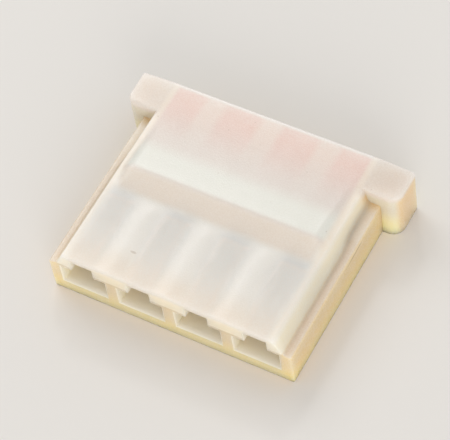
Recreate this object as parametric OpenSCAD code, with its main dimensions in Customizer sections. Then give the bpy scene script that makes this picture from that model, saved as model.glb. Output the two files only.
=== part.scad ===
// Wire to board connector housing: one moulded nylon block with a row of
// contact cavities, stepped sides that run in a socket's rails, a low raised
// grip across its middle and an ear at each wire-end corner.
// It lies on its flat underside. Origin: centre of the underside.
// -Y is the mating face, +Y the wire end, X runs along the row of contacts.

/* [Contact row] */
// Number of contact positions in the row
circuits = 4; // [2:1:8]
// Distance between neighbouring contact centres
pitch = 2.5; // [2.4:0.05:3.2]

/* [Body] */
// Length from the mating face to the wire end
body_l = 9; // [8.2:0.1:11]
// Height from the underside to the flat top
body_h = 2.5; // [2.4:0.05:3]
// Wall outside the first and the last cavity
end_wall = 0.525; // [0.45:0.025:0.9]

/* [Stepped sides] */
// Height of the side ledge above the underside
ledge_h = 1.75; // [1.4:0.05:2]
// Width of the ledge beside the mating half
ledge_w_front = 0.34; // [0.2:0.02:0.4]
// Width of the ledge beside the wire half
ledge_w_rear = 0.5; // [0.42:0.02:0.6]
// Distance from the body's side in to the edge of the flat top
top_inset = 0.7; // [0.65:0.05:0.9]
// Distance from the mating face to where the ledge widens
side_step_y = 5.4; // [4.5:0.1:6.5]

/* [Contact cavities] */
// Width of a cavity
cavity_w = 1.95; // [1.6:0.05:2]
// Height of a cavity
cavity_h = 1; // [0.8:0.05:1.1]
// Wall under a cavity
floor_t = 0.65; // [0.5:0.05:0.75]
// Width of the key slot above a cavity, open at the mating face
slot_w = 0.95; // [0.5:0.05:1.2]
// Roof left above a key slot
slot_roof = 0.3; // [0.2:0.02:0.4]
// Length of a key slot, up to the shoulder that holds the contact
slot_l = 3.65; // [2.5:0.05:4]

/* [Wire pockets] */
// Width of the wider mouth that takes the wire at the back of a cavity
pocket_w = 2.05; // [2:0.05:2.2]
// Length over which the mouth narrows to the cavity
pocket_l = 1.5; // [1:0.1:2]
// Roof over the mouth at the wire end
pocket_roof = 0.25; // [0.2:0.01:0.4]
// Wall under the mouth at the wire end
pocket_floor = 0.45; // [0.3:0.05:0.5]

/* [Raised grip] */
// Height of the grip's crest above the flat top
crest_rise = 0.25; // [0.1:0.05:0.5]
// Distance from the mating face to the foot of the grip's ramp
ramp_foot_y = 3.45; // [3:0.05:4]
// Distance from the mating face to the crest
crest_y = 4.6; // [4.5:0.05:6.6]
// Flat margin between the grip and the edge of the top
grip_margin = 0.08; // [0.05:0.01:0.3]
// Width of the grip's sloping end
grip_flank = 0.5; // [0.3:0.05:0.8]

/* [Ribs over the walls] */
// Height of the low rib above each wall between cavities
rib_rise = 0.04; // [0.02:0.01:0.1]
// Width of a rib at its foot
rib_w = 1.2; // [0.8:0.05:1.4]

/* [Ears] */
// Distance an ear stands out from the body's side
ear_out = 0.75; // [0.4:0.05:1.2]
// Length of an ear along the body
ear_l = 1.55; // [1.2:0.05:2]
// Height of an ear
ear_h = 2.4; // [2:0.05:2.4]
// Radius of an ear's upright outer corner
ear_corner_r = 0.5; // [0.2:0.05:0.6]
// Radius along an ear's upper front edge
ear_top_r = 0.2; // [0.1:0.02:0.4]

/* [Edges] */
// Bevel along the upper edge of the wire end, between the ears
rim_break = 0.09; // [0.04:0.01:0.14]

/* [Hidden] */
$fn = 48;
nylon = [0.93, 0.90, 0.84];
// A cut runs this far past the face it opens
past = 0.5;
// Steps along a curved outline
foot_steps = 3;
crest_steps = 8;
fall_steps = 10;
flank_steps = 8;
rib_steps = 8;
// Length over which the ramp's foot curves up out of the flat top
ramp_start = 0.25;
// Roundness of the crest, and how soon the fall behind it flattens out
crest_round = 0.2;
fall_shape = 2.2;
// Length before and behind the crest over which it is drawn with fine steps
fine_before = 0.25;
fine_behind = 0.45;
// Length that a rib runs on into the grip's ramp
rib_run_on = 0.3;
// Depth to which the grip and the ribs start inside the block, so that they join it
root_depth = 0.2;

row_w = (circuits - 1) * pitch;
body_w = row_w + cavity_w + 2 * end_wall;
top_half = body_w / 2 - top_inset;
front_y = -body_l / 2;
back_y = body_l / 2;
cavity_top = floor_t + cavity_h;
ear_x = body_w / 2 + ear_out;
ear_y = back_y - ear_l;
grip_half = top_half - grip_margin;
root_z = body_h - root_depth;

// A smooth rise from 0 to 1 as t goes from 0 to 1
function ease(t) = (1 - cos(180 * t)) / 2;
function cavity_x(i) = i * pitch - row_w / 2;

// The grip's side view, y from the mating face: a flat ramp and a long fall,
// rounded where they meet
function climb(y) = let (
    along = max(0, y - ramp_foot_y),
    run = along < ramp_start ? along * along / (2 * ramp_start) : along - ramp_start / 2
) run / (crest_y - ramp_foot_y - ramp_start / 2);
function fall(y) = pow(1 - (y - crest_y) / (body_l - crest_y), fall_shape);
function grip_line(y) = let (
    near = min(max(0.5 + 0.5 * (fall(y) - climb(y)) / crest_round, 0), 1)
) fall(y) + (climb(y) - fall(y)) * near - crest_round * near * (1 - near);

// Draws an X-Z outline and runs it along Y from y1 to y2
module along_y(y1, y2) {
    translate([0, y2, 0]) rotate([90, 0, 0]) linear_extrude(y2 - y1) children();
}

// Draws a Y-Z outline and runs it along X from x1 to x2
module along_x(x1, x2) {
    translate([x1, 0, 0]) rotate([90, 0, 90]) linear_extrude(x2 - x1) children();
}

// Cross section of the block, with a ledge of the given width on each side
module block_section(ledge_w) {
    side = body_w / 2;
    foot = side - ledge_w;
    polygon([
        [-side, 0], [side, 0], [side, ledge_h], [foot, ledge_h],
        [top_half, body_h], [-top_half, body_h], [-foot, ledge_h], [-side, ledge_h]
    ]);
}

module block() {
    step = front_y + side_step_y;
    along_y(front_y, step) block_section(ledge_w_front);
    along_y(step, back_y) block_section(ledge_w_rear);
}

// Side view of the grip: a ramp up to the crest, then a long fall to the back
module grip_side_view() {
    round_from = crest_y - fine_before;
    round_to = crest_y + fine_behind;
    stations = concat(
        [for (k = [0 : foot_steps]) ramp_foot_y + ramp_start * k / foot_steps],
        [for (k = [0 : crest_steps]) round_from + (round_to - round_from) * k / crest_steps],
        [for (k = [1 : fall_steps]) round_to + (body_l - round_to) * k / fall_steps]
    );
    peak = max([for (y = stations) grip_line(y)]);
    polygon(concat(
        [[back_y, root_z], [front_y + ramp_foot_y, root_z]],
        [for (y = stations) [front_y + y, body_h + crest_rise * grip_line(y) / peak]]
    ));
}

// End view of the grip: a flat middle with a soft slope at each end
module grip_end_view() {
    right = [for (k = [0 : flank_steps]) let (t = k / flank_steps)
        [grip_half - grip_flank * t, body_h + crest_rise * ease(t)]];
    left = [for (k = [flank_steps : -1 : 0]) [-right[k][0], right[k][1]]];
    polygon(concat([[-grip_half, root_z], [grip_half, root_z]], right, left));
}

module grip() {
    intersection() {
        along_x(-grip_half, grip_half) grip_side_view();
        along_y(front_y, back_y) grip_end_view();
    }
}

// One low rib lies above each wall between two cavities, in the mating half
module ribs() {
    for (i = [0 : circuits - 2]) {
        middle = cavity_x(i) + pitch / 2;
        translate([middle, 0, 0]) along_y(front_y, front_y + ramp_foot_y + rib_run_on)
            polygon(concat(
                [[rib_w / 2, root_z]],
                [for (k = [0 : rib_steps]) let (t = k / rib_steps)
                    [rib_w * (0.5 - t), body_h + rib_rise * ease(1 - abs(2 * t - 1))]],
                [[-rib_w / 2, root_z]]
            ));
    }
}

// Outline of the right ear from above, with its outer front corner rounded
module ear_plan() {
    difference() {
        translate([0, ear_y]) square([ear_x, ear_l]);
        translate([ear_x - ear_corner_r, ear_y - past])
            square([ear_corner_r + past, ear_corner_r + past]);
    }
    translate([ear_x - ear_corner_r, ear_y + ear_corner_r]) circle(ear_corner_r);
}

// Outline of an ear from the side, with its upper front edge rounded
module ear_side_view() {
    translate([ear_y + ear_top_r, 0]) square([ear_l - ear_top_r, ear_h]);
    translate([ear_y, 0]) square([ear_l, ear_h - ear_top_r]);
    translate([ear_y + ear_top_r, ear_h - ear_top_r]) circle(ear_top_r);
}

module ear() {
    intersection() {
        linear_extrude(ear_h) ear_plan();
        along_x(0, ear_x) ear_side_view();
    }
}

// A cavity runs right through from the mating face to the wire end
module cavity() {
    translate([-cavity_w / 2, front_y - past, floor_t])
        cube([cavity_w, body_l + 2 * past, cavity_h]);
    translate([-slot_w / 2, front_y - past, floor_t])
        cube([slot_w, slot_l + past, body_h - slot_roof - floor_t]);
}

// The wire pocket is a mouth at the back, whose roof and floor close in
module wire_pocket() {
    mouth_top = body_h - pocket_roof;
    along_x(-pocket_w / 2, pocket_w / 2) polygon([
        [back_y - pocket_l, floor_t], [back_y, pocket_floor], [back_y + past, pocket_floor],
        [back_y + past, mouth_top], [back_y, mouth_top], [back_y - pocket_l, cavity_top]
    ]);
}

// Bevel that takes the sharp upper edge off the wire end
module rim_bevel() {
    side = body_w / 2 - ledge_w_rear;
    along_x(-side, side) polygon([
        [back_y - rim_break, body_h + past], [back_y - rim_break, body_h],
        [back_y, body_h - rim_break], [back_y + past, body_h - rim_break],
        [back_y + past, body_h + past]
    ]);
}

module housing() {
    color(nylon) difference() {
        union() {
            block();
            grip();
            ribs();
            ear();
            mirror([1, 0, 0]) ear();
        }
        for (i = [0 : circuits - 1]) translate([cavity_x(i), 0, 0]) {
            cavity();
            wire_pocket();
        }
        rim_bevel();
    }
}

housing();
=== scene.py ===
# Dresses the connector housing in its moulded nylon and lights it for a picture.
import bmesh
import bpy
import math
from mathutils import Matrix, Vector
from mathutils.geometry import tessellate_polygon


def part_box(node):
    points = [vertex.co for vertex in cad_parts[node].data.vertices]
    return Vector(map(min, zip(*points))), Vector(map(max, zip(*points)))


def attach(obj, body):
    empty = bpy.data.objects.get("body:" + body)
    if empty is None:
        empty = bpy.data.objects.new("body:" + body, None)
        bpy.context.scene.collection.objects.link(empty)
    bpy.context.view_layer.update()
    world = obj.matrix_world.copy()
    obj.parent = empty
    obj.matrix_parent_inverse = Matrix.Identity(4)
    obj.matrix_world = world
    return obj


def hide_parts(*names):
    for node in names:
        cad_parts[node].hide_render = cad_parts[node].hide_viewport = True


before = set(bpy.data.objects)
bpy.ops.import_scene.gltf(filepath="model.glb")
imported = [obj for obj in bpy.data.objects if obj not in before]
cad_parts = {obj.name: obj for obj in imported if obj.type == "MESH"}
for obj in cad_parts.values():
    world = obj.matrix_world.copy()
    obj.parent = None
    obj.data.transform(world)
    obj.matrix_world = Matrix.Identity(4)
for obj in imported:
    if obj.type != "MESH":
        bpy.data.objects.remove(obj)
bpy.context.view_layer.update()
boxLow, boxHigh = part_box("housing")
mm = 0.001

# What a user would change about the moulding. Lengths are in millimetres, and
# y is counted from the mating face towards the wire end.
housing = {
    "circuits": 4,
    "pitch": 2.5,
    "endWall": 0.525,
    "bodyHeight": 2.5,
    "ledgeHeight": 1.75,
    "ledgeFront": 0.34,
    "ledgeRear": 0.5,
    "topInset": 0.7,
    "sideStepY": 5.4,
    "sideStepRun": 1.4,
    "cavityWidth": 1.95,
    "cavityHeight": 1.0,
    "floor": 0.65,
    "slotWidth": 0.95,
    "slotRoof": 0.3,
    "slotLength": 3.65,
    "pocketWidth": 2.05,
    "pocketLength": 1.5,
    "pocketRoof": 0.25,
    "pocketFloor": 0.45,
    "crestRise": 0.25,
    "rampFootY": 3.45,
    "rampStart": 0.25,
    "crestY": 4.6,
    "crestRound": 0.2,
    "fallShape": 2.2,
    "gripMargin": 0.08,
    "gripFlank": 0.5,
    "ribRise": 0.04,
    "ribWidth": 1.2,
    "earOut": 0.75,
    "earLength": 1.55,
    "earHeight": 2.4,
    "earCornerRadius": 0.5,
    "earTopRadius": 0.2,
    "edgeRadius": 0.07,
    "ledgeRadius": 0.12,
    "footRadius": 0.2,
    "topEdgeRadius": 0.12,
    "mouthRadius": 0.05,
}

length = (boxHigh[1] - boxLow[1]) / mm
rowWidth = (housing["circuits"] - 1) * housing["pitch"]
bodyWidth = rowWidth + housing["cavityWidth"] + 2 * housing["endWall"]
sideX = bodyWidth / 2
topHalf = sideX - housing["topInset"]
earX = sideX + housing["earOut"]
earY = length - housing["earLength"]
cavityTop = housing["floor"] + housing["cavityHeight"]
cavityCentres = [i * housing["pitch"] - rowWidth / 2 for i in range(housing["circuits"])]


def ease(t):
    t = min(max(t, 0), 1)
    return t * t * (3 - 2 * t)


def gripLine(y):
    # Side view of the grip: a ramp and a long fall, rounded where they meet.
    foot, start, crest = housing["rampFootY"], housing["rampStart"], housing["crestY"]
    along = max(0, y - foot)
    climb = along ** 2 / (2 * start) if along < start else along - start / 2
    climb /= crest - foot - start / 2
    fall = (1 - (y - crest) / (length - crest)) ** housing["fallShape"]
    near = min(max(0.5 + 0.5 * (fall - climb) / housing["crestRound"], 0), 1)
    return fall + (climb - fall) * near - housing["crestRound"] * near * (1 - near)


gripPeak = max(gripLine(length * k / 500) for k in range(501))


def gripRise(x, y):
    across = ease((topHalf - housing["gripMargin"] - abs(x)) / housing["gripFlank"])
    return housing["crestRise"] * max(0, gripLine(y)) / gripPeak * across


def ribsRise(x, y):
    # One low rib over each wall between two cavities, fading out under the ramp.
    fade = 1 - ease((y - 2.9) / 0.8)
    total = 0
    for centre in cavityCentres[:-1]:
        away = abs(x - centre - housing["pitch"] / 2) / (housing["ribWidth"] / 2)
        total += ease(1 - away)
    return housing["ribRise"] * total * fade


def topRise(x, y):
    return gripRise(x, y) + ribsRise(x, y)


def roundedPath(corners, steps):
    # Each corner is (x, z, radius). The first and last stay sharp path ends.
    path = [Vector(corners[0][:2])]
    for before, here, after in zip(corners, corners[1:], corners[2:]):
        spot = Vector(here[:2])
        toBack = (Vector(before[:2]) - spot).normalized()
        toNext = (Vector(after[:2]) - spot).normalized()
        half = toBack.angle(toNext) / 2
        reach = here[2] / math.tan(half)
        start, end = spot + toBack * reach, spot + toNext * reach
        centre = spot + (toBack + toNext).normalized() * (here[2] / math.sin(half))
        for k in range(steps + 1):
            blend = start.lerp(end, k / steps) - centre
            path.append(centre + blend.normalized() * here[2])
    path.append(Vector(corners[-1][:2]))
    return path


def sideCorners(y):
    # Corners of the right flank at one station: bottom, ledge, foot, top edge.
    r = housing["edgeRadius"]
    step = ease((y - housing["sideStepY"]) / housing["sideStepRun"] + 0.5)
    ledge = housing["ledgeFront"] + (housing["ledgeRear"] - housing["ledgeFront"]) * step
    foot = (sideX - ledge, housing["ledgeHeight"], housing["footRadius"])
    top = (topHalf, housing["bodyHeight"], housing["topEdgeRadius"])
    if y < earY:
        return [(sideX, 0, r), (sideX, housing["ledgeHeight"], housing["ledgeRadius"]), foot, top]
    into = y - earY
    corner = housing["earCornerRadius"]
    reach = min(into, corner)
    outX = earX - corner + math.sqrt(corner ** 2 - (corner - reach) ** 2)
    corner = housing["earTopRadius"]
    reach = min(into, corner)
    high = housing["earHeight"] - corner + math.sqrt(corner ** 2 - (corner - reach) ** 2)
    fall = (housing["bodyHeight"] - high) / (outX - topHalf)
    shoulder = (sideX + 0.05, high + fall * (outX - sideX - 0.05) + 0.01, 0.2)
    return [(outX, 0, r), (outX, high, 0.1), shoulder, top]


def outerLoop(y, inset):
    # Closed outline of the block at one station, anticlockwise seen from +Y's back.
    path = roundedPath([(0, 0, 0)] + sideCorners(y) + [(0, housing["bodyHeight"], 0)], 5)
    right, edge = path[:-1], path[-2][0]
    topSteps = 110
    top = []
    for k in range(1, topSteps):
        x = edge - 2 * edge * k / topSteps
        top.append(Vector((x, housing["bodyHeight"] + topRise(x, y))))
    left = [Vector((-p[0], p[1])) for p in reversed(right[1:])]
    loop = right + top + left
    if not inset:
        return loop
    shrunk = []
    for k, p in enumerate(loop):
        along = (loop[(k + 1) % len(loop)] - loop[k - 1]).normalized()
        shrunk.append(p + Vector((-along[1], along[0])) * inset)
    return shrunk


def cavityLoop(centre, y, flare):
    # Outline of one cavity: a box, with the key slot on top near the mating face.
    mouth = ease((y - length + housing["pocketLength"]) / 0.15)
    run = max(0, (y - length + housing["pocketLength"]) / housing["pocketLength"])
    half = housing["cavityWidth"] / 2
    half += (housing["pocketWidth"] / 2 - half) * mouth + flare
    low = housing["floor"] + (housing["pocketFloor"] - housing["floor"]) * run - flare
    roof = housing["bodyHeight"] - housing["pocketRoof"]
    high = cavityTop + (roof - cavityTop) * run + flare
    slotHalf = housing["slotWidth"] / 2 + flare
    slotTop = high
    if y < housing["slotLength"]:
        slotTop = housing["bodyHeight"] - housing["slotRoof"] + flare
    corners = [
        (-half, low), (half, low), (half, high), (slotHalf, high),
        (slotHalf, slotTop), (-slotHalf, slotTop), (-slotHalf, high), (-half, high),
    ]
    return [Vector((centre + x, z)) for x, z in corners]


def spread(start, end, gap):
    count = max(1, round((end - start) / gap))
    return [start + (end - start) * k / count for k in range(count)]


def outerStations():
    r = housing["edgeRadius"]
    turns = [math.radians(a) for a in (0, 18, 36, 54, 72)]
    front = [(r * (1 - math.cos(a)), r * (1 - math.sin(a))) for a in turns]
    arcs = [housing["earCornerRadius"] * (1 - math.cos(math.radians(a))) for a in range(6, 91, 6)]
    middle = spread(r, 2.8, 0.35) + spread(2.8, 5.9, 0.06) + spread(5.9, earY - 0.001, 0.12)
    middle += [earY - 1e-6, earY]
    middle += [earY + a for a in arcs] + spread(earY + housing["earCornerRadius"] + 0.1, length - r, 0.12)
    back = [(length - d, e) for d, e in reversed(front)]
    return front + [(y, 0) for y in middle] + [(length - r, 0)] + back


def cavityStations():
    r = housing["mouthRadius"]
    turns = [math.radians(a) for a in (0, 30, 60)]
    front = [(r * (1 - math.cos(a)), r * (1 - math.sin(a))) for a in turns] + [(r, 0)]
    slot = housing["slotLength"]
    pocket = length - housing["pocketLength"]
    middle = [(1.2, 0), (2.4, 0), (slot - 1e-6, 0), (slot, 0), (5.0, 0), (pocket, 0)]
    middle += [(pocket + 0.05, 0), (pocket + 0.1, 0), (pocket + 0.15, 0), (8.2, 0)]
    back = [(length - d, e) for d, e in reversed(front)]
    return front + middle + back


def addLoft(bm, rings):
    # rings is a list of (y, points). Returns the rows of vertices.
    rows = []
    for y, ring in rings:
        rows.append([bm.verts.new((p[0] * mm, (y - length / 2) * mm, p[1] * mm)) for p in ring])
    for row, following in zip(rows, rows[1:]):
        for k in range(len(row)):
            j = (k + 1) % len(row)
            bm.faces.new((row[k], row[j], following[j], following[k]))
    return rows


def addCap(bm, loops):
    # Closes one end: the first loop is the rim and the others are openings.
    flat = [v for loop in loops for v in loop]
    outlines = [[Vector((v.co.x, v.co.z, 0)) for v in loop] for loop in loops]
    for a, b, c in tessellate_polygon(outlines):
        bm.faces.new((flat[a], flat[b], flat[c]))


def buildHousing():
    bm = bmesh.new()
    outer = addLoft(bm, [(y, outerLoop(y, inset)) for y, inset in outerStations()])
    inner = []
    for centre in cavityCentres:
        inner.append(addLoft(bm, [(y, cavityLoop(centre, y, flare)) for y, flare in cavityStations()]))
    for rows in inner:
        for corner in (v for row in rows for v in row):
            for face in corner.link_faces:
                face.material_index = 1
    addCap(bm, [outer[0]] + [rows[0] for rows in inner])
    addCap(bm, [outer[-1]] + [rows[-1] for rows in inner])
    bmesh.ops.recalc_face_normals(bm, faces=bm.faces)
    mesh = bpy.data.meshes.new("mouldedHousing")
    bm.to_mesh(mesh)
    bm.free()
    piece = bpy.data.objects.new("mouldedHousing", mesh)
    bpy.context.scene.collection.objects.link(piece)
    mesh.shade_smooth()
    mesh.set_sharp_from_angle(angle=math.radians(32))
    weighted = piece.modifiers.new("evenNormals", "WEIGHTED_NORMAL")
    weighted.keep_sharp = True
    weighted.weight = 100
    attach(piece, "root")
    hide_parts("housing")
    return piece


body = buildHousing()
print("housing built:", len(body.data.polygons), "faces")


# The view: a long lens looks down on the top from the mating face's right.
view = {
    "azimuth": 37.41,
    "elevation": 55.59,
    "roll": -10.85,
    "distance": 0.09153,
    "aim": (-0.000634, 0.000875, 0),
    "lens": 186.6,
    "sensor": 36,
}


def placeCamera():
    azimuth, elevation = math.radians(view["azimuth"]), math.radians(view["elevation"])
    back = Vector((
        math.sin(azimuth) * math.cos(elevation),
        -math.cos(azimuth) * math.cos(elevation),
        math.sin(elevation),
    ))
    level = Vector((math.cos(azimuth), math.sin(azimuth), 0))
    across = Matrix.Rotation(math.radians(view["roll"]), 3, back) @ level
    upright = back.cross(across)
    data = bpy.data.cameras.new("camera")
    data.lens = view["lens"]
    data.sensor_width = view["sensor"]
    data.sensor_fit = "HORIZONTAL"
    data.clip_start, data.clip_end = 0.005, 2
    camera = bpy.data.objects.new("camera", data)
    bpy.context.scene.collection.objects.link(camera)
    turn = Matrix((across, upright, back)).transposed().to_4x4()
    camera.matrix_world = Matrix.Translation(Vector(view["aim"]) + back * view["distance"]) @ turn
    bpy.context.scene.camera = camera


placeCamera()
print("camera placed")


# Natural nylon: ivory on top, whiter over the walls between two cavities. Painted light in it: rosy tints
# over thin roofs, a white crest band as painted highlight, painted shade on the ramp and behind the crest,
# and tan and amber warm light from the table low down.
nylon = {
    "slotPaintedGlow": (0.99, 0.86, 0.76),
    "wallWhite": (0.85, 0.82, 0.76),
    "frontWarm": (0.76, 0.64, 0.53),
    "rampShade": (0.78, 0.695, 0.61),
    "crestPaintedHighlight": (0.755, 0.755, 0.695),
    "rearShadedIvory": (0.71, 0.65, 0.60),
    "pocketPaintedGlow": (0.75, 0.56, 0.51),
    "pocketWallPaintedGlow": (0.76, 0.64, 0.58),
    "margin": (0.92, 0.79, 0.66),
    "earTop": (0.7, 0.62, 0.55),
    "lipBounceStraw": (0.95, 0.78, 0.58),
    "ledgeShadeBounceTan": (0.665, 0.535, 0.41),
    "ledgeShadeBouncePale": (0.72, 0.6, 0.47),
    "sideBounceTan": (0.74, 0.54, 0.3),
    "sideBounceAmber": (0.97, 0.65, 0.25),
    "frontBounceTan": (0.73, 0.57, 0.36),
    "frontBounceAmber": (0.99, 0.71, 0.31),
    "earBounceTan": (0.69, 0.64, 0.52),
    "earBounceStraw": (0.97, 0.86, 0.42),
    "underside": (0.80, 0.69, 0.55),
    "innerWallPaintedGlow": (0.99, 0.86, 0.67),
    "markAndShadeBrown": (0.30, 0.20, 0.13),
    "scatterRadius": (1., 0.99, 0.98),
    "scatterScale": 0.0014,
    "scatterShare": 1.0,
    "gloss": 0.25,
    "glossSpread": 0.02,
    "grainSize": 0.05,
    "grainDepth": 0.005,
    "fleckSize": 0.06,
    "fleckShare": 0.14,
}


def feed(tree, value, socket):
    if isinstance(value, (int, float, tuple)):
        socket.default_value = value
    else:
        tree.links.new(value, socket)


def mathNode(tree, operation, *values):
    node = tree.nodes.new("ShaderNodeMath")
    node.operation = operation
    for k, value in enumerate(values):
        feed(tree, value, node.inputs[k])
    return node.outputs[0]


def between(tree, value, low, high, start=0.0, end=1.0):
    # Smooth change from start to end as value goes from low to high.
    node = tree.nodes.new("ShaderNodeMapRange")
    node.interpolation_type = "SMOOTHSTEP"
    for k, number in enumerate((value, low, high, start, end)):
        feed(tree, number, node.inputs[k])
    return node.outputs[0]


def blend(tree, mask, first, second):
    node = tree.nodes.new("ShaderNodeMix")
    node.data_type = "RGBA"
    for value, socket in ((mask, node.inputs[0]), (first, node.inputs[6]), (second, node.inputs[7])):
        feed(tree, (*value, 1.0) if isinstance(value, tuple) else value, socket)
    return node.outputs[2]


def noise(tree, place, size, detail):
    node = tree.nodes.new("ShaderNodeTexNoise")
    feed(tree, place, node.inputs["Vector"])
    node.inputs["Scale"].default_value = 1 / size
    node.inputs["Detail"].default_value = detail
    return node.outputs[0]


def placeInMillimetres(tree):
    # Place on the moulding in mm: whole vector, then x, y from the mating face, z.
    source = tree.nodes.new("ShaderNodeTexCoord")
    scale = tree.nodes.new("ShaderNodeVectorMath")
    scale.operation = "MULTIPLY_ADD"
    feed(tree, source.outputs["Object"], scale.inputs[0])
    scale.inputs[1].default_value = (1000, 1000, 1000)
    scale.inputs[2].default_value = (0, length / 2, 0)
    parts = tree.nodes.new("ShaderNodeSeparateXYZ")
    feed(tree, scale.outputs[0], parts.inputs[0])
    return scale.outputs[0], parts.outputs[0], parts.outputs[1], parts.outputs[2]


def awayFromCavity(tree, x):
    # Distance in mm from the middle of the nearest cavity.
    shifted = mathNode(tree, "ADD", x, rowWidth / 2 + housing["pitch"] * 10.5)
    inCell = mathNode(tree, "MODULO", shifted, housing["pitch"])
    return mathNode(tree, "ABSOLUTE", mathNode(tree, "SUBTRACT", inCell, housing["pitch"] / 2))


def startGroup(name, outputs):
    group = bpy.data.node_groups.new(name, "ShaderNodeTree")
    for label, kind in outputs:
        group.interface.new_socket(label, in_out="OUTPUT", socket_type=kind)
    return group, group.nodes.new("NodeGroupOutput")


def both(tree, *masks):
    joined = masks[0]
    for mask in masks[1:]:
        joined = mathNode(tree, "MULTIPLY", joined, mask)
    return joined


def facingParts(tree):
    # How far the surface faces along x, y and z, whichever way round.
    source = tree.nodes.new("ShaderNodeTexCoord")
    parts = tree.nodes.new("ShaderNodeSeparateXYZ")
    feed(tree, source.outputs["Normal"], parts.inputs[0])
    return parts.outputs[0], parts.outputs[1], parts.outputs[2]


# Handling marks: the dash and the pits lie on the top. The line along the right side is painted shade, a
# dark line standing in for a groove's shadow.
marksAndShadeLine = {
    "dash": {"x": -2.07, "y": 1.28, "long": 0.13, "wide": 0.05, "depth": 0.3},
    "shadeLine": {"z": 1.58, "fall": 0.07, "from": 4.2, "to": 5.9, "wide": 0.055, "depth": 0.6},
    "pits": {"size": 0.55, "radius": 0.04, "depth": 0.28},
}


def dashMark(tree, x, y):
    dash = marksAndShadeLine["dash"]
    along = mathNode(tree, "DIVIDE", mathNode(tree, "SUBTRACT", x, dash["x"]), dash["long"])
    across = mathNode(tree, "DIVIDE", mathNode(tree, "SUBTRACT", y, dash["y"]), dash["wide"])
    reach = mathNode(tree, "ADD", both(tree, along, along), both(tree, across, across))
    return between(tree, reach, 0.4, 1.5, dash["depth"], 0.0)


def paintedShadeLine(tree, x, y, z):
    # Painted shade: a dark line along the right flank just below the ledge, where a narrow groove's shadow
    # shows.
    shadeLine = marksAndShadeLine["shadeLine"]
    lineZ = mathNode(tree, "MULTIPLY_ADD", y, shadeLine["fall"], shadeLine["z"] - shadeLine["fall"] * shadeLine["to"])
    fromLine = mathNode(tree, "ABSOLUTE", mathNode(tree, "SUBTRACT", z, lineZ))
    onLine = between(tree, fromLine, shadeLine["wide"] * 0.4, shadeLine["wide"], shadeLine["depth"], 0.0)
    ends = both(tree, between(tree, y, shadeLine["from"], shadeLine["from"] + 1.0),
                between(tree, y, shadeLine["to"] - 0.3, shadeLine["to"], 1.0, 0.0))
    return both(tree, onLine, ends, between(tree, x, sideX - 0.1, sideX - 0.04))


def pitMarks(tree, place, y):
    # Tiny dark pits, thinly scattered over the rear half of the top.
    pits = marksAndShadeLine["pits"]
    cells = tree.nodes.new("ShaderNodeTexVoronoi")
    feed(tree, place, cells.inputs["Vector"])
    cells.inputs["Scale"].default_value = 1 / pits["size"]
    near = pits["radius"] / pits["size"]
    dots = between(tree, cells.outputs["Distance"], near * 0.4, near, pits["depth"], 0.0)
    return both(tree, dots, between(tree, y, 4.4, 4.8))


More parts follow.
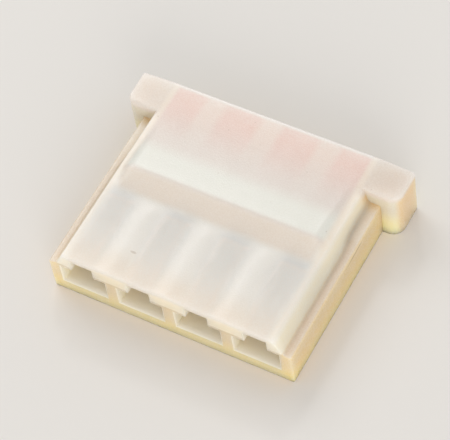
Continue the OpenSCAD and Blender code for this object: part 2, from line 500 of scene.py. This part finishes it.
def nylonColourAndPaintedLight():
    # Colour of the nylon by place: roofs, walls between cavities, flanks, foot, with painted light and
    # shade mixed in.
    group, out = startGroup("nylonColourAndPaintedLight", [("Colour", "NodeSocketColor")])
    place, x, y, z = placeInMillimetres(group)
    facingX, facingY, facingZ = facingParts(group)
    outward = mathNode(group, "ABSOLUTE", x)
    drift = mathNode(group, "MULTIPLY_ADD", noise(group, place, 0.9, 2.0), 0.24, -0.12)
    away = mathNode(group, "ADD", awayFromCavity(group, x), drift)

    inRow = between(group, outward, rowWidth / 2 + 0.4, rowWidth / 2 + 0.75, 1.0, 0.0)
    overWall = both(group, between(group, away, 0.6, 1.0), inRow)
    overSlot = both(group, between(group, away, 0.35, 0.7, 1.0, 0.0), between(group, y, 3.2, 3.4, 1.0, 0.0))
    rim = between(group, y, 8.78, 8.93)
    overPocket = both(group, between(group, y, 6.0, 8.6), mathNode(group, "SUBTRACT", 1.0, rim), inRow)
    rampEnds = between(group, outward, 4.1, 4.45, 1.0, 0.0)
    onRamp = both(group, between(group, y, 3.5, 3.85), between(group, y, 4.4, 4.75, 1.0, 0.0), rampEnds)
    onCrest = both(group, between(group, y, 4.5, 4.85), between(group, y, 5.5, 6.3, 1.0, 0.0))
    onEar = both(group, between(group, outward, 4.1, 4.6), between(group, y, 6.9, 7.5))

    ribbed = both(group, overWall, between(group, y, 0.2, 1.4, 0.45, 1.0))
    # Painted light: the rosy tints over the key slots and the wire pockets stand in for warm light coming
    # up through the thin roofs.
    front = blend(group, overSlot, nylon["wallWhite"], nylon["slotPaintedGlow"])
    front = blend(group, ribbed, front, nylon["wallWhite"])
    front = blend(group, between(group, y, 0.0, 1.6, 0.7, 0.0), front, nylon["frontWarm"])
    roofPaintedGlow = blend(group, overWall, nylon["pocketPaintedGlow"], nylon["pocketWallPaintedGlow"])
    # Painted shade: the top behind the crest is coloured darker to offset the lamps' light falling there.
    rear = blend(group, overPocket, nylon["rearShadedIvory"], roofPaintedGlow)
    top = blend(group, between(group, y, 4.3, 4.6), front, rear)
    # Painted highlight: the crest band is coloured a neutral white where the gloss catches the lamps.
    top = blend(group, onCrest, top, nylon["crestPaintedHighlight"])
    # Painted shade: the ramp band, which faces away from the lamps, is coloured darker.
    top = blend(group, onRamp, top, nylon["rampShade"])
    top = blend(group, mathNode(group, "SUBTRACT", 1.0, inRow), top, nylon["margin"])
    top = blend(group, onEar, top, nylon["earTop"])

    # Painted warm light from the table: flanks, ends, ear fronts, ledge and the slope above it turn tan and
    # amber towards the bottom; the ledge is also darkened as painted shade under the wall.
    lowDown = between(group, z, 0.1, 1.3, 1.0, 0.0)
    side = blend(group, lowDown, nylon["sideBounceTan"], nylon["sideBounceAmber"])
    end = blend(group, lowDown, nylon["frontBounceTan"], nylon["frontBounceAmber"])
    square = between(group, mathNode(group, "ABSOLUTE", facingY), 0.4, 0.9)
    low = blend(group, both(group, square, between(group, outward, 4.6, 5.0, 1.0, 0.0)), side, end)
    earFront = blend(group, between(group, z, 0.2, 1.7), nylon["earBounceStraw"], nylon["earBounceTan"])
    low = blend(group, both(group, square, between(group, outward, 5.2, 5.4)), low, earFront)
    ledge = blend(group, between(group, y, 5.1, 6.0), nylon["ledgeShadeBounceTan"], nylon["ledgeShadeBouncePale"])
    low = blend(group, between(group, facingZ, 0.5, 0.9), low, ledge)
    low = blend(group, between(group, z, 1.76, 1.86), low, nylon["lipBounceStraw"])
    low = blend(group, onEar, low, blend(group, square, nylon["sideBounceTan"], earFront))

    raised = mathNode(group, "MULTIPLY_ADD", onEar, 0.15, z)
    colour = blend(group, between(group, raised, 2.2, 2.48), low, top)
    under = between(group, facingZ, -0.9, -0.6, 1.0, 0.0)
    colour = blend(group, under, colour, nylon["underside"])
    cloud = between(group, noise(group, place, 0.8, 1.0), 0.3, 0.7, 0.0, 0.05)
    colour = blend(group, cloud, colour, nylon["wallWhite"])
    fleck = between(group, noise(group, place, nylon["fleckSize"], 2.0), 0.3, 0.7, 0.0, nylon["fleckShare"])
    colour = blend(group, fleck, colour, (0.97, 0.96, 0.93))
    onTop = between(group, z, 2.4, 2.46)
    colour = blend(group, both(group, dashMark(group, x, y), onTop), colour, nylon["markAndShadeBrown"])
    colour = blend(group, both(group, pitMarks(group, place, y), onTop), colour, nylon["markAndShadeBrown"])
    # Painted shade: the dark line along the right flank.
    colour = blend(group, paintedShadeLine(group, x, y, z), colour, nylon["markAndShadeBrown"])
    feed(group, colour, out.inputs[0])
    return group


def mouldGrain():
    # Fine spark-eroded grain of the tool, and how far it dulls the gloss.
    outputs = [("Height", "NodeSocketFloat"), ("Roughness", "NodeSocketFloat")]
    group, out = startGroup("mouldGrain", outputs)
    place, x, y, z = placeInMillimetres(group)
    grain = noise(group, place, nylon["grainSize"], 3.0)
    feed(group, grain, out.inputs[0])
    patches = noise(group, place, 0.45, 3.0)
    dull = between(group, patches, 0.3, 0.7, nylon["gloss"], nylon["gloss"] + nylon["glossSpread"])
    feed(group, dull, out.inputs[1])
    return group


groups = {"tint": nylonColourAndPaintedLight(), "grain": mouldGrain()}


def addGroup(tree, key):
    node = tree.nodes.new("ShaderNodeGroup")
    node.node_tree = groups[key]
    return node


def nylonMaterial(name, inside):
    mat = bpy.data.materials.new(name)
    mat.use_nodes = True
    tree = mat.node_tree
    shader = tree.nodes["Principled BSDF"]
    grain = addGroup(tree, "grain")
    colour = addGroup(tree, "tint").outputs[0]
    if inside:
        # Painted light: the cavity walls are coloured lighter and warmer, standing in for light scattered
        # into the cavities through the thin roofs.
        colour = blend(tree, 0.85, colour, nylon["innerWallPaintedGlow"])
    feed(tree, colour, shader.inputs["Base Color"])
    feed(tree, grain.outputs["Roughness"], shader.inputs["Roughness"])
    bump = tree.nodes.new("ShaderNodeBump")
    bump.inputs["Distance"].default_value = nylon["grainDepth"] * mm
    feed(tree, grain.outputs["Height"], bump.inputs["Height"])
    feed(tree, bump.outputs[0], shader.inputs["Normal"])
    shader.inputs["IOR"].default_value = 1.53
    shader.inputs["Subsurface Weight"].default_value = nylon["scatterShare"]
    shader.inputs["Subsurface Radius"].default_value = nylon["scatterRadius"]
    shader.inputs["Subsurface Scale"].default_value = nylon["scatterScale"]
    return mat


body.data.materials.append(nylonMaterial("naturalNylon", False))
body.data.materials.append(nylonMaterial("cavityNylon", True))
print("nylon mixed")


# The set: a pale table, a soft sky and two large lamps behind and above.
studio = {
    "tableColour": (0.80, 0.785, 0.76),
    "skyColour": (1.0, 0.985, 0.97),
    "skyStrength": 0.68,
    "keyPower": 0.085,
    "keySize": 0.12,
    "fillPower": 0.22,
    "fillSize": 0.16,
    "sheenPower": 0.036,
    "sheenSize": 0.035,
}


def addTable():
    bpy.ops.mesh.primitive_plane_add(size=2, location=(0, 0, 0))
    table = bpy.context.object
    table.name = "table"
    mat = bpy.data.materials.new("paleTable")
    mat.use_nodes = True
    shader = mat.node_tree.nodes["Principled BSDF"]
    shader.inputs["Base Color"].default_value = (*studio["tableColour"], 1)
    shader.inputs["Roughness"].default_value = 0.8
    table.data.materials.append(mat)


def addLamp(name, place, size, power, colour):
    data = bpy.data.lights.new(name, "AREA")
    data.shape = "DISK"
    data.size = size
    data.energy = power
    data.color = colour
    lamp = bpy.data.objects.new(name, data)
    bpy.context.scene.collection.objects.link(lamp)
    lamp.location = place
    lamp.rotation_euler = (-Vector(place)).to_track_quat("-Z", "Y").to_euler()


def lightScene():
    world = bpy.data.worlds.new("softSky")
    bpy.context.scene.world = world
    world.use_nodes = True
    sky = world.node_tree.nodes["Background"]
    sky.inputs["Color"].default_value = (*studio["skyColour"], 1)
    sky.inputs["Strength"].default_value = studio["skyStrength"]
    addLamp("keyLamp", (-0.13, 0.07, 0.145), studio["keySize"], studio["keyPower"], (1, 0.98, 0.95))
    addLamp("fillLamp", (0.135, -0.185, 0.075), studio["fillSize"], studio["fillPower"], (1, 0.97, 0.93))
    addLamp("sheenLamp", (-0.080, 0.138, 0.150), studio["sheenSize"], studio["sheenPower"], (1, 1, 0.98))


addTable()
lightScene()
bpy.context.scene.view_settings.view_transform = "Standard"
print("table and lamps set")
